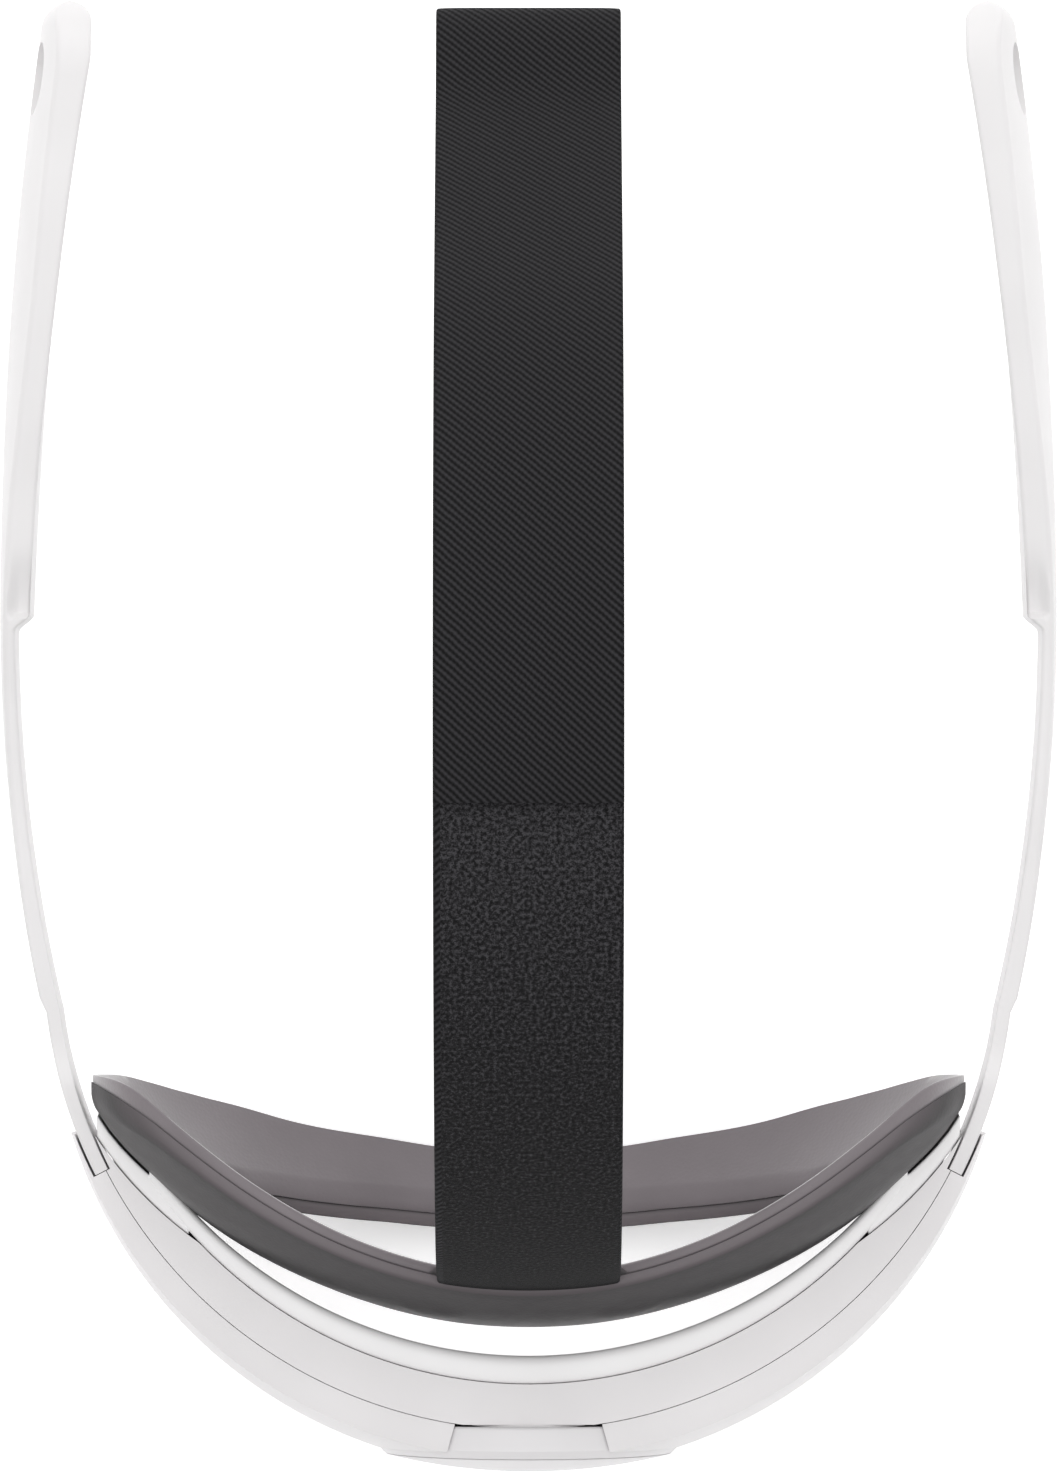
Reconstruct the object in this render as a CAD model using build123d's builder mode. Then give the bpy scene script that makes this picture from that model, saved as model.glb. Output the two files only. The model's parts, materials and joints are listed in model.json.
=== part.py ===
"""Head strap of a headset: two side arms that slide out of a rear housing when its fit wheel
is turned, a ring-shaped head cradle, and a webbing strap over the top of the head.

Millimetres, +Z up, +Y towards the face, the origin on the ground under the middle of the strap.
"""
from build123d import *
from math import acos, cos, pi, radians, sin, sqrt, tan
import os

os.makedirs("parts", exist_ok=True)

# Driving dimensions ------------------------------------------------------------------------
MID = 34.0  # height of the side arms' centre line, and of the wheel's axis

# Track: the arc that the arms' tails and racks slide along.
TRACK_Y = -38.5
TAIL_OUTER, TAIL_INNER = 86.1, 83.6
RACK_INNER = 82.1
TAIL_HALF = 9.5
SLIDE_GAP = 0.3

# Housing: a sphere trimmed to a long outline, cut into layers by upright cylinders.
BALL_Y, BALL_R = -45.6, 85.1
OUTLINE_TOP, OUTLINE_END, OUTLINE_X = 23.8, 11.3, 84.0
SEAM_Y, SEAM_R = -37.9, 84.2
CREASE_Y, CREASE_R = -33.3, 80.9
LINER_Y, LINER_R = -26.9, 82.2
WALL = 1.9
COVER_END, SHELL_END = 70.6, 70.0
MOUTH_ANGLE, NOTCH_ANGLE = 18.0, 27.2

# Fit wheel, given by radius and by distance behind the origin.
WHEEL_FRONT, WHEEL_EDGE, WHEEL_BACK, DOME_BACK = 121.7, 125.9, 127.3, 130.7
WHEEL_R_FRONT, WHEEL_R_EDGE, WHEEL_R_BACK, WHEEL_BORE = 26.4, 27.0, 25.7, 24.3
WHEEL_PLAY = 0.45
PLATE_R, PLATE_FRONT, PLATE_BACK = 23.7, 122.75, 124.2
SHAFT_R = 2.0

# Rack and pinion.
MODULE, TEETH = 1.0, 10
PITCH_R = MODULE * TEETH / 2
PRESSURE = radians(20)
RACK_R = (RACK_INNER + TAIL_INNER) / 2
TOOTH_STEP = 360 / TEETH * PITCH_R / RACK_R
RACK_TOP = 9.3
RACK_FIRST, RACK_LAST = 33.0, 109.0
TAIL_LAST = 45.0
HINGE_ANGLE = 7.0

# Cradle: two shells of one barrel, an ellipse in plan turned about an axis across the head.
CRADLE_Y, CRADLE_Z = -38.5, MID + 11.7
CRADLE_ACROSS, CRADLE_DEEP = 84.0, 66.9
BARREL_Y = -49.8
FRAME_THICK, CRADLE_THICK = 1.8, 4.0

CRADLE_GAP, WING_THICK = 0.3, 1.8
WING_CLEAR = CRADLE_GAP + WING_THICK + 0.5
SHOULDER_INNER = 81.4  # the tail's stop, which meets the housing's mouth

# Top strap.
STRAP_WIDE, STRAP_THICK, PATCH_THICK = 32.0, 1.5, 0.8
CROWN_Y, CROWN_R, CROWN_Z = 5.0, 100.7, MID + 38.9
FRONT_R, FRONT_TURN, FRONT_RUN = 95.0, 50.0, 63.5
FLAP_END_ANGLE = 9.0
LOOP_R, LOOP_TAPER = 4.0, 18.0


# Shared shapes -----------------------------------------------------------------------------
def bent_strip(inner, outer, first, last, low, high):
    """A strip bent round the track's centre on the left side, by angles behind the left."""
    with BuildPart() as strip:
        with BuildSketch(Plane.XY.offset(MID + low)):
            with BuildLine():
                far = CenterArc((0, TRACK_Y), outer, 180 + first, last - first)
                near = CenterArc((0, TRACK_Y), inner, 180 + first, last - first)
                Line(far @ 0, near @ 0)
                Line(far @ 1, near @ 1)
            make_face()
        extrude(amount=high - low)
    return strip.part


def upright(radius, y):
    """A tall upright cylinder on the centre plane."""
    with BuildPart() as column:
        with Locations((0, y, MID)):
            Cylinder(radius, 120)
    return column.part


def block(radius, inset):
    """The housing's ball trimmed to its long outline, brought in by an inset."""
    top, end = OUTLINE_TOP - inset, OUTLINE_END - inset
    with BuildPart() as ball:
        with BuildSketch(Plane.XZ.offset(40)):
            with BuildLine():
                upper = ThreePointArc((-OUTLINE_X, MID + end), (0, MID + top), (OUTLINE_X, MID + end))
                lower = ThreePointArc((-OUTLINE_X, MID - end), (0, MID - top), (OUTLINE_X, MID - end))
                Line(upper @ 0, lower @ 0)
                Line(upper @ 1, lower @ 1)
            make_face()
        extrude(amount=100)
        with Locations((0, BALL_Y, MID)):
            Sphere(radius, mode=Mode.INTERSECT)
    return ball.part


def behind(distance, half, corner):
    """Everything behind a distance, with rounded upper and lower corners."""
    with BuildPart() as zone:
        with BuildSketch(Plane.YZ.offset(-100)) as side:
            with Locations((-distance - 50, MID)):
                Rectangle(100, 2 * half)
            fillet(side.vertices().group_by(Axis.X)[-1], corner)
        extrude(amount=200)
    return zone.part


def barrel(inset):
    """The cradle's barrel shape, brought in by an inset."""
    with BuildPart() as shape:
        with BuildSketch(Plane.XY.offset(CRADLE_Z)):
            with BuildLine():
                edge = EllipticalCenterArc(
                    (0, CRADLE_Y), CRADLE_ACROSS - inset, CRADLE_DEEP - inset, 193, arc_size=154
                )
                Polyline(edge @ 0, ((edge @ 0).X, BARREL_Y), ((edge @ 1).X, BARREL_Y), edge @ 1)
            make_face()
        revolve(axis=Axis((0, BARREL_Y, CRADLE_Z), (1, 0, 0)))
    return shape.part


def turned(points):
    """A solid of revolution about the wheel's axis, from (radius, distance behind) points."""
    with BuildPart() as round_piece:
        with BuildSketch(Plane.XY.offset(MID)):
            with BuildLine():
                Polyline(*[(radius, -back) for radius, back in points], close=True)
            make_face()
        revolve(axis=Axis((0, 0, MID), (0, 1, 0)))
    return round_piece.part


def rod(start, end, radius):
    """A round rod between two points."""
    path = Vector(*end) - Vector(*start)
    with BuildPart() as bar:
        with BuildSketch(Plane(origin=start, z_dir=path)):
            Circle(radius)
        extrude(amount=path.length)
    return bar.part


def track_point(radius, angle, level):
    """A point on the left of the track, by radius, angle and height above the centre line."""
    turn = radians(180 + angle)
    return (radius * cos(turn), TRACK_Y + radius * sin(turn), MID + level)


def save(piece, name):
    """Labels a finished piece and writes it."""
    piece.part.label = name
    export_step(piece.part, f"parts/{name}.step")


track = bent_strip(RACK_INNER - SLIDE_GAP, TAIL_OUTER + SLIDE_GAP, 12, 168, -9.8, 9.8)
notch = bent_strip(TAIL_INNER - 0.4, TAIL_OUTER + 0.4, MOUTH_ANGLE, NOTCH_ANGLE, -20, 20)
seam = upright(SEAM_R, SEAM_Y)
crease = upright(CREASE_R, CREASE_Y)

# Housing -----------------------------------------------------------------------------------
SHELL_FRONT_WALL = 1.6
PLATE_SCREWS = [(x, z) for x in (-15.5, 15.5) for z in (-13.0, 13.0)]
COVER_SCREWS = [(x, z) for x in (-45.0, 45.0) for z in (-14.5, 14.5)]
BOSS_R = 2.2
COVER_BOSS_FRONT, COVER_BOSS_SEAM, COVER_BOSS_BACK = 101.0, 109.1, 114.6

shell_room_zone = behind(SHELL_END + 2, 30, 6)
with BuildPart() as shell_room:
    add(block(BALL_R, WALL))
    add(upright(CREASE_R + SHELL_FRONT_WALL, CREASE_Y), mode=Mode.SUBTRACT)
    add(shell_room_zone, mode=Mode.INTERSECT)

room_front, room_edge = WHEEL_R_FRONT + WHEEL_PLAY, WHEEL_R_EDGE + WHEEL_PLAY
wheel_room = turned([
    (0, 90), (room_front, 90), (room_front, 121.3), (room_edge, WHEEL_EDGE), (room_edge, 140), (0, 140)
])
with BuildPart() as mid_shell:
    add(block(BALL_R, 0))
    add(seam, mode=Mode.INTERSECT)
    add(crease, mode=Mode.SUBTRACT)
    add(behind(SHELL_END, 30, 9), mode=Mode.INTERSECT)
    add(shell_room.part, mode=Mode.SUBTRACT)
    for x, z in PLATE_SCREWS:
        add(rod((x, -112, MID + z), (x, -PLATE_FRONT + 0.1, MID + z), BOSS_R))
    for x, z in COVER_SCREWS:
        add(rod((x, -COVER_BOSS_FRONT, MID + z), (x, -COVER_BOSS_SEAM, MID + z), BOSS_R))
    add(crease, mode=Mode.SUBTRACT)
    add(barrel(-WING_CLEAR), mode=Mode.SUBTRACT)
    add(track, mode=Mode.SUBTRACT)
    for side in (notch, mirror(notch, about=Plane.YZ)):
        add(side, mode=Mode.SUBTRACT)
    for x, z in PLATE_SCREWS:
        add(rod((x, -116.5, MID + z), (x, -124, MID + z), 0.85), mode=Mode.SUBTRACT)
    for x, z in COVER_SCREWS:
        add(rod((x, -98, MID + z), (x, -110, MID + z), 1.05), mode=Mode.SUBTRACT)
        add(rod((x, -98, MID + z), (x, -103, MID + z), 2.0), mode=Mode.SUBTRACT)
    add(turned([(23.9, 121.3), (40, 121.3), (40, 140), (23.9, 140)]), mode=Mode.SUBTRACT)
save(mid_shell, "mid_shell")

with BuildPart() as cover_room:
    add(block(BALL_R - WALL, WALL))
    add(behind(COVER_END + 2, 30, 6), mode=Mode.INTERSECT)
    add(turned([(0, 90), (29.0, 90), (29.0, 140), (0, 140)]), mode=Mode.SUBTRACT)

with BuildPart() as covers:
    add(block(BALL_R, 0))
    add(upright(SEAM_R + 0.12, SEAM_Y), mode=Mode.SUBTRACT)
    add(behind(COVER_END, 30, 9), mode=Mode.INTERSECT)
    add(cover_room.part, mode=Mode.SUBTRACT)
    for x, z in COVER_SCREWS:
        add(rod((x, -COVER_BOSS_SEAM - 0.2, MID + z), (x, -COVER_BOSS_BACK, MID + z), BOSS_R))
    for x, z in COVER_SCREWS:
        add(rod((x, -105, MID + z), (x, -113.5, MID + z), 0.85), mode=Mode.SUBTRACT)
    add(track, mode=Mode.SUBTRACT)
    for side in (notch, mirror(notch, about=Plane.YZ)):
        add(side, mode=Mode.SUBTRACT)
    add(wheel_room, mode=Mode.SUBTRACT)
halves = [half for half in covers.part.solids().sort_by(Axis.X) if half.volume > 50]
with BuildPart() as left_rear_cover:
    add(halves[0])
save(left_rear_cover, "left_rear_cover")
with BuildPart() as right_rear_cover:
    add(halves[-1])
save(right_rear_cover, "right_rear_cover")

with BuildPart() as cover_screws:
    for x, z in COVER_SCREWS:
        add(rod((x, -101.4, MID + z), (x, -102.95, MID + z), 1.9))
        add(rod((x, -102.9, MID + z), (x, -113.3, MID + z), 0.8))
save(cover_screws, "cover_screws")

# Liner: the front skin of the housing, with a wing on each side that carries the cradle.
WING_HALF, WING_FIRST, WING_LAST = 11.0, 52.0, 75.0


def wide_box(x_half, y_low, y_high, z_half, z=0.0):
    """A box centred on x, between two depths, around a height above the centre line."""
    with BuildPart() as shape:
        with Locations((0, (y_low + y_high) / 2, MID + z)):
            Box(2 * x_half, y_high - y_low, 2 * z_half)
    return shape.part


cradle_clear = barrel(-CRADLE_GAP)
wing_outer = barrel(-CRADLE_GAP - WING_THICK)
with BuildPart() as wings:
    add(wing_outer)
    add(upright(SHOULDER_INNER - 0.4, TRACK_Y), mode=Mode.INTERSECT)
    add(wide_box(WING_LAST, -120, -60, WING_HALF), mode=Mode.INTERSECT)
    add(wide_box(WING_FIRST, -140, -50, 30), mode=Mode.SUBTRACT)
    add(cradle_clear, mode=Mode.SUBTRACT)

LINER_END, LINER_SKIN = 67.0, 1.8
with BuildPart() as liner_pocket:
    add(block(BALL_R, 2.2))
    add(upright(LINER_R + LINER_SKIN, LINER_Y), mode=Mode.SUBTRACT)
    add(upright(CREASE_R + 1, CREASE_Y), mode=Mode.INTERSECT)
    add(wide_box(56, -140, -60, 30), mode=Mode.INTERSECT)

with BuildPart() as inner_liner:
    add(block(BALL_R, 0.4))
    add(upright(CREASE_R - 0.1, CREASE_Y), mode=Mode.INTERSECT)
    add(upright(LINER_R, LINER_Y), mode=Mode.SUBTRACT)
    add(wide_box(LINER_END, -140, -60, 30), mode=Mode.INTERSECT)
    add(cradle_clear, mode=Mode.SUBTRACT)
    add(liner_pocket.part, mode=Mode.SUBTRACT)
    add(wings.part)

# Rack guide: a channel behind the liner that the racks slide along.
GUIDE_IN, GUIDE_OUT, GUIDE_LIP = 80.2, 81.7, 83.4
GUIDE_FIRST, GUIDE_LAST = 32.5, 147.5
BUSH_R, BUSH_HOLE = 3.4, SHAFT_R + 0.05
with BuildPart() as rack_guide:
    add(bent_strip(GUIDE_IN, GUIDE_OUT, GUIDE_FIRST, GUIDE_LAST, -10.8, 10.8))
    for low, high in ((9.8, 10.7), (-10.7, -9.8)):
        add(bent_strip(GUIDE_IN, GUIDE_LIP, GUIDE_FIRST, GUIDE_LAST, low, high))
    add(turned([(0, 116.6), (4.8, 116.6), (4.8, 119.5), (0, 119.5)]))
    add(turned([(0, 110), (BUSH_R, 110), (BUSH_R, 122), (0, 122)]), mode=Mode.SUBTRACT)
    for x, z in PLATE_SCREWS + COVER_SCREWS:
        add(rod((x, -95, MID + z), (x, -125, MID + z), BOSS_R + 0.1), mode=Mode.SUBTRACT)
    add(turned([(23.9, 121.3), (40, 121.3), (40, 140), (23.9, 140)]), mode=Mode.SUBTRACT)
save(rack_guide, "rack_guide")

with BuildPart() as front_bush:
    add(turned([(BUSH_HOLE, 116.9), (BUSH_R, 116.9), (BUSH_R, 120.1), (BUSH_HOLE, 120.1)]))
save(front_bush, "front_bush")

HEAD_SEAT = 123.4
with BuildPart() as bearing_plate:
    add(turned([(BUSH_R, PLATE_FRONT), (PLATE_R, PLATE_FRONT), (PLATE_R, PLATE_BACK), (BUSH_R, PLATE_BACK)]))
    for x, z in PLATE_SCREWS:
        add(rod((x, -122, MID + z), (x, -125, MID + z), 1.05), mode=Mode.SUBTRACT)
        add(rod((x, -HEAD_SEAT, MID + z), (x, -125, MID + z), 1.9), mode=Mode.SUBTRACT)
    add(rod((9, -122, MID), (9, -125, MID), 0.85), mode=Mode.SUBTRACT)
save(bearing_plate, "bearing_plate")

with BuildPart() as rear_bush:
    add(turned([(BUSH_HOLE, 122.8), (BUSH_R, 122.8), (BUSH_R, 124.2), (4.4, 124.2),
                (4.4, 124.7), (BUSH_HOLE, 124.7)]))
save(rear_bush, "rear_bush")

with BuildPart() as plate_screws:
    for x, z in PLATE_SCREWS:
        add(rod((x, -116.8, MID + z), (x, -HEAD_SEAT, MID + z), 0.8))
        add(rod((x, -HEAD_SEAT, MID + z), (x, -PLATE_BACK + 0.05, MID + z), 1.8))
save(plate_screws, "plate_screws")

# Fit wheel ---------------------------------------------------------------------------------
HUB_FRONT, BOSS_FRONT = 126.0, 125.1
with BuildPart() as wheel_rim:
    add(turned([
        (WHEEL_BORE, WHEEL_FRONT), (WHEEL_R_FRONT, WHEEL_FRONT),
        (WHEEL_R_EDGE, WHEEL_EDGE), (WHEEL_R_BACK, WHEEL_BACK),
        (SHAFT_R, WHEEL_BACK), (SHAFT_R, BOSS_FRONT), (5, BOSS_FRONT), (5, HUB_FRONT),
        (WHEEL_BORE, HUB_FRONT),
    ]))
    front_edge = wheel_rim.edges().filter_by(GeomType.CIRCLE).sort_by(Axis.Y)[-1]
    chamfer(front_edge, 0.3)
save(wheel_rim, "wheel_rim")

CAP_FRONT, CAP_R, CAP_ROOM = WHEEL_BACK + 0.05, 25.5, 22.0
DOME_R, DOME_INSIDE_R, DOME_INSIDE = 104.0, 119.1, 129.4
with BuildPart() as cap_room:
    with Locations((0, DOME_INSIDE_R - DOME_INSIDE, MID)):
        Sphere(DOME_INSIDE_R)
    add(turned([(0, 120), (CAP_ROOM, 120), (CAP_ROOM, 140), (0, 140)]), mode=Mode.INTERSECT)
with BuildPart() as wheel_cap:
    with Locations((0, DOME_R - DOME_BACK, MID)):
        Sphere(DOME_R)
    add(turned([(0, CAP_FRONT), (CAP_R, CAP_FRONT), (CAP_R, 140), (0, 140)]), mode=Mode.INTERSECT)
    add(cap_room.part, mode=Mode.SUBTRACT)
save(wheel_cap, "wheel_cap")

with BuildPart() as wheel_shaft:
    add(turned([(0, 116.95), (SHAFT_R, 116.95), (SHAFT_R, 127.2), (1.0, 127.2), (1.0, 122), (0, 122)]))
save(wheel_shaft, "wheel_shaft")

with BuildPart() as wheel_screw:
    add(turned([(0, 122.3), (0.95, 122.3), (0.95, 127.3), (3.0, 127.3), (3.0, 128.5), (0, 128.5)]))
save(wheel_screw, "wheel_screw")

NOTCHES = 30
with BuildPart() as detent_ring:
    add(turned([(20.8, 124.6), (24.2, 124.6), (24.2, 125.95), (20.8, 125.95)]))
    with BuildSketch(Plane(origin=(0, -124, MID), x_dir=(1, 0, 0), z_dir=(0, -1, 0))):
        with PolarLocations(20.8, NOTCHES):
            Rectangle(1.3, 1.3, rotation=45)
    extrude(amount=3, mode=Mode.SUBTRACT)
save(detent_ring, "detent_ring")

with BuildPart() as detent_spring:
    with BuildSketch(Plane(origin=(0, -PLATE_BACK - 0.35, MID), x_dir=(1, 0, 0), z_dir=(0, -1, 0))):
        with BuildLine():
            inner_run = ThreePointArc((9, 1.6), (15.5, 7.5), (15.2, 12.2))
            outer_run = ThreePointArc((9, 2.3), (14.8, 7.9), (14.5, 12.0))
            Line(inner_run @ 0, outer_run @ 0)
            Polyline(outer_run @ 1, (16.1, 13.4), inner_run @ 1)
        make_face()
        with Locations((9, 0)):
            Circle(2.4)
    extrude(amount=1.0)
    add(rod((9, -123, MID), (9, -126, MID), 0.85), mode=Mode.SUBTRACT)
save(detent_spring, "detent_spring")

with BuildPart() as detent_screw:
    add(rod((9, -122.9, MID), (9, -125.56, MID), 0.8))
    add(rod((9, -125.56, MID), (9, -125.9, MID), 1.7))
save(detent_screw, "detent_screw")


# Pinion and racks --------------------------------------------------------------------------
BACKLASH_ANGLE = 0.012


def involute(roll):
    """The involute function of a pressure angle."""
    return tan(roll) - roll


def tooth_half_angle(radius):
    """Half of a pinion tooth's angle at a radius, in radians."""
    base = PITCH_R * cos(PRESSURE)
    widest = pi / 2 / TEETH - BACKLASH_ANGLE + involute(PRESSURE)
    return widest - involute(acos(min(1, base / radius)))


def tooth_outline():
    """One pinion tooth pointing up, from below its root to its tip."""
    radii = [3.6, 4.7, 5.0, 5.4, 5.75, 6.0]
    right = [(r * sin(tooth_half_angle(r)), r * cos(tooth_half_angle(r))) for r in radii]
    return right + [(-x, y) for x, y in reversed(right)]


PINION_FRONT, PINION_BACK = 120.4, 122.45
with BuildPart() as pinion_gear:
    with BuildSketch(Plane(origin=(0, -PINION_FRONT, MID), x_dir=(1, 0, 0), z_dir=(0, -1, 0))):
        Circle(3.8)
        with BuildLine(mode=Mode.PRIVATE) as tooth_line:
            Polyline(*tooth_outline(), close=True)
        tooth = make_face(tooth_line.edges(), mode=Mode.PRIVATE)
        for k in range(TEETH):
            add(tooth.rotate(Axis.Z, 360 / TEETH * k))
        Circle(SHAFT_R + 0.02, mode=Mode.SUBTRACT)
    extrude(amount=PINION_BACK - PINION_FRONT)
save(pinion_gear, "pinion_gear")

TIP_DROP, ROOT_RISE, RACK_BACKLASH = 0.55, 1.25, 0.04
RIVET_ANGLES, RIVET_LEVEL, RIVET_R = (36.0, 39.5, 43.0), 7.9, 1.0


def gap_plane(angle):
    """A plane across the left rack at an angle, facing outwards, with its Y upwards."""
    turn = radians(180 + angle)
    return Plane(
        origin=track_point(RACK_INNER - 1, angle, PITCH_R),
        x_dir=(-sin(turn), cos(turn), 0),
        z_dir=(cos(turn), sin(turn), 0),
    )


def gap_planes():
    """The left rack's tooth gaps, one of them over the pinion at rest."""
    below = int((90 - RACK_FIRST - 14) / TOOTH_STEP)
    above = int((RACK_LAST - 90) / TOOTH_STEP)
    return [gap_plane(90 + k * TOOTH_STEP) for k in range(-below, above + 1)]


def gap_half(rise):
    """Half of a gap's width at a height above the pitch line."""
    return pi * MODULE / 4 + RACK_BACKLASH - rise * tan(PRESSURE)


with BuildPart() as left_rack_strip:
    add(bent_strip(RACK_INNER, TAIL_INNER, RACK_FIRST, RACK_LAST, PITCH_R - TIP_DROP, RACK_TOP))
    with BuildSketch(*gap_planes()):
        with BuildLine():
            Polyline((-gap_half(-0.8), -0.8), (gap_half(-0.8), -0.8), (gap_half(ROOT_RISE), ROOT_RISE),
                     (-gap_half(ROOT_RISE), ROOT_RISE), close=True)
        make_face()
    extrude(amount=4, mode=Mode.SUBTRACT)
    for angle in RIVET_ANGLES:
        hole = rod(track_point(80, angle, RIVET_LEVEL), track_point(88, angle, RIVET_LEVEL), RIVET_R + 0.03)
        add(hole, mode=Mode.SUBTRACT)
save(left_rack_strip, "left_rack_strip")
with BuildPart() as right_rack_strip:
    add(left_rack_strip.part.rotate(Axis((0, 0, MID), (0, 1, 0)), 180))
save(right_rack_strip, "right_rack_strip")


def write_pair(piece, name):
    """Writes a left piece and its mirror image."""
    save(piece, f"left_{name}")
    with BuildPart() as other:
        mirror(piece.part, about=Plane.YZ)
    save(other, f"right_{name}")


def rivet_holes(level, radius):
    """Radial pins through the left tail and strip, at a level."""
    return [rod(track_point(RACK_INNER, a, level), track_point(TAIL_OUTER - 0.4, a, level), radius)
            for a in RIVET_ANGLES]


SHOULDER = (14.5, 17.5, 21.6)  # where the stop's ramp starts, where it is full, and its face
KNUCKLE_R, KNUCKLE_GAP = 1.25, 0.35
HINGE_R = (TAIL_INNER + TAIL_OUTER) / 2
hinge_x, hinge_y, _ = track_point(HINGE_R, HINGE_ANGLE, 0)


def tail(level):
    """A left tail whose strip is riveted on at a level."""
    start, full, face = SHOULDER
    root = TAIL_INNER + 0.2
    ramp = [(root, start), (SHOULDER_INNER, full), (SHOULDER_INNER, face), (root, face)]
    with BuildPart() as piece:
        add(bent_strip(TAIL_INNER, TAIL_OUTER, HINGE_ANGLE, TAIL_LAST, -TAIL_HALF, TAIL_HALF))
        add(rod((hinge_x, hinge_y, MID - TAIL_HALF), (hinge_x, hinge_y, MID + TAIL_HALF), KNUCKLE_R))
        with BuildSketch(Plane.XY.offset(MID - 8)):
            with BuildLine():
                Polyline(*[track_point(radius, angle, 0)[:2] for radius, angle in ramp], close=True)
            make_face()
        extrude(amount=16)
        for hole in rivet_holes(level, RIVET_R + 0.03):
            add(hole, mode=Mode.SUBTRACT)
    return piece


def rivets(level):
    """The rivets that hold a left strip on its tail."""
    with BuildPart() as piece:
        for pin in rivet_holes(level, RIVET_R):
            add(pin)
    return piece


save(tail(RIVET_LEVEL), "left_tail")
save(rivets(RIVET_LEVEL), "left_rack_rivets")
for maker, name in ((tail(-RIVET_LEVEL), "tail"), (rivets(-RIVET_LEVEL), "rack_rivets")):
    with BuildPart() as right_piece:
        mirror(maker.part, about=Plane.YZ)
    save(right_piece, f"right_{name}")

# Side arms ---------------------------------------------------------------------------------
ARM_THIN = 3.0
ARM_BULGE_Y, ARM_HALF, TIP_Y = 21.3, 14.0, 130.7
REAR_AT, REAR_R = 223.0, 317.0   # the outer edge behind the widest point
FRONT_AT, FRONT_ARC_R = 657.0, 751.0  # and in front of it
STEP_Y = 18.6
WINDOW_AT, WINDOW_LONG, WINDOW_TALL = 117.0, 13.0, 11.6


def on_arc(centre, radius, y):
    """The left point of an arc whose widest point is at the arm's bulge."""
    return (centre - sqrt(radius**2 - (y - ARM_BULGE_Y) ** 2), y)


arm_back = hinge_y + 0.2
with BuildPart() as arm:
    with BuildSketch(Plane.XY.offset(MID - 20)):
        with BuildLine():
            back_out = on_arc(REAR_AT, REAR_R, arm_back)
            widest = on_arc(REAR_AT, REAR_R, ARM_BULGE_Y)
            tip_out = on_arc(FRONT_AT, FRONT_ARC_R, 126)
            ThreePointArc(back_out, on_arc(REAR_AT, REAR_R, -15), widest)
            ThreePointArc(widest, on_arc(FRONT_AT, FRONT_ARC_R, 75), tip_out)
            ThreePointArc(tip_out, (-85.2, 129.3), (-82.2, TIP_Y))
            ThreePointArc((-82.2, TIP_Y), (-79.2, 129.6), (-77.9, 126.3))
            Line((-77.9, 126.3), (-78.1, 120))
            ThreePointArc((-78.1, 120), (-85.3, 66.9), (-88.3, 22))
            step_in = on_arc(REAR_AT, REAR_R - ARM_THIN, STEP_Y)
            ThreePointArc((-88.3, 22), (-88.8, 19.7), step_in)
            back_in = on_arc(REAR_AT, REAR_R - ARM_THIN, arm_back)
            ThreePointArc(step_in, on_arc(REAR_AT, REAR_R - ARM_THIN, -15), back_in)
            Line(back_in, back_out)
        make_face()
    extrude(amount=40)
    with BuildSketch(Plane.YZ.offset(-110)):
        with BuildLine():
            for way in (1, -1):
                Line((-60, MID + way * TAIL_HALF), (0, MID + way * TAIL_HALF))
                Spline((0, MID + way * TAIL_HALF), (70, MID + way * ARM_HALF), tangents=((1, 0), (1, 0)))
                Line((70, MID + way * ARM_HALF), (116, MID + way * ARM_HALF))
                ThreePointArc((116, MID + way * ARM_HALF), (126.6, MID + way * 9.9), (131, MID))
            Line((-60, MID - TAIL_HALF), (-60, MID + TAIL_HALF))
        make_face()
    extrude(amount=50, mode=Mode.INTERSECT)
    add(rod((hinge_x, hinge_y, MID - 20), (hinge_x, hinge_y, MID + 20), KNUCKLE_R + KNUCKLE_GAP),
        mode=Mode.SUBTRACT)
    # The seat for the visor's side stem: a trough open at the front and on the inside.
    with BuildSketch(Plane.XY.offset(MID - 7)):
        with BuildLine():
            Polyline((-86.2, 88), (-81.7, 131), (-81.7, 140), (-70, 140), (-70, 86), close=True)
        make_face()
    extrude(amount=14, mode=Mode.SUBTRACT)
    with BuildSketch(Plane.YZ.offset(-95)):
        with Locations((WINDOW_AT, MID)):
            SlotOverall(WINDOW_LONG, WINDOW_TALL)
    extrude(amount=20, mode=Mode.SUBTRACT)

with BuildPart() as receiver_zone:
    with BuildSketch(Plane.XY.offset(MID - 30)):
        with BuildLine():
            inner_r = FRONT_ARC_R - ARM_THIN
            low, high = on_arc(FRONT_AT, inner_r, STEP_Y), on_arc(FRONT_AT, inner_r, 132)
            ThreePointArc(low, on_arc(FRONT_AT, inner_r, 75), high)
            Polyline(high, (-60, 132), (-60, STEP_Y), low)
        make_face()
    extrude(amount=60)

with BuildPart() as arm_band:
    add(arm.part)
    add(receiver_zone.part, mode=Mode.SUBTRACT)
write_pair(arm_band, "arm_band")
with BuildPart() as receiver:
    add(arm.part)
    add(receiver_zone.part, mode=Mode.INTERSECT)
write_pair(receiver, "receiver")

# Cradle ------------------------------------------------------------------------------------
CRADLE_TIP = 60.3
BOSS_HALF, BOSS_LOW, SLOT_HALF = 19.0, 22.0, STRAP_WIDE / 2 + 0.3
SLOT_OUT, SLOT_IN, SLOT_LOW = 1.2, 2.9, 25.0
BAR_Y, BAR_LEVEL, BAR_R, BEAD_R = -100.5, 26.0, 0.6, 1.15
CRADLE_SCREWS = [(x, z) for x in (-66.0, 66.0) for z in (-5.0, 6.0)]


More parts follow.
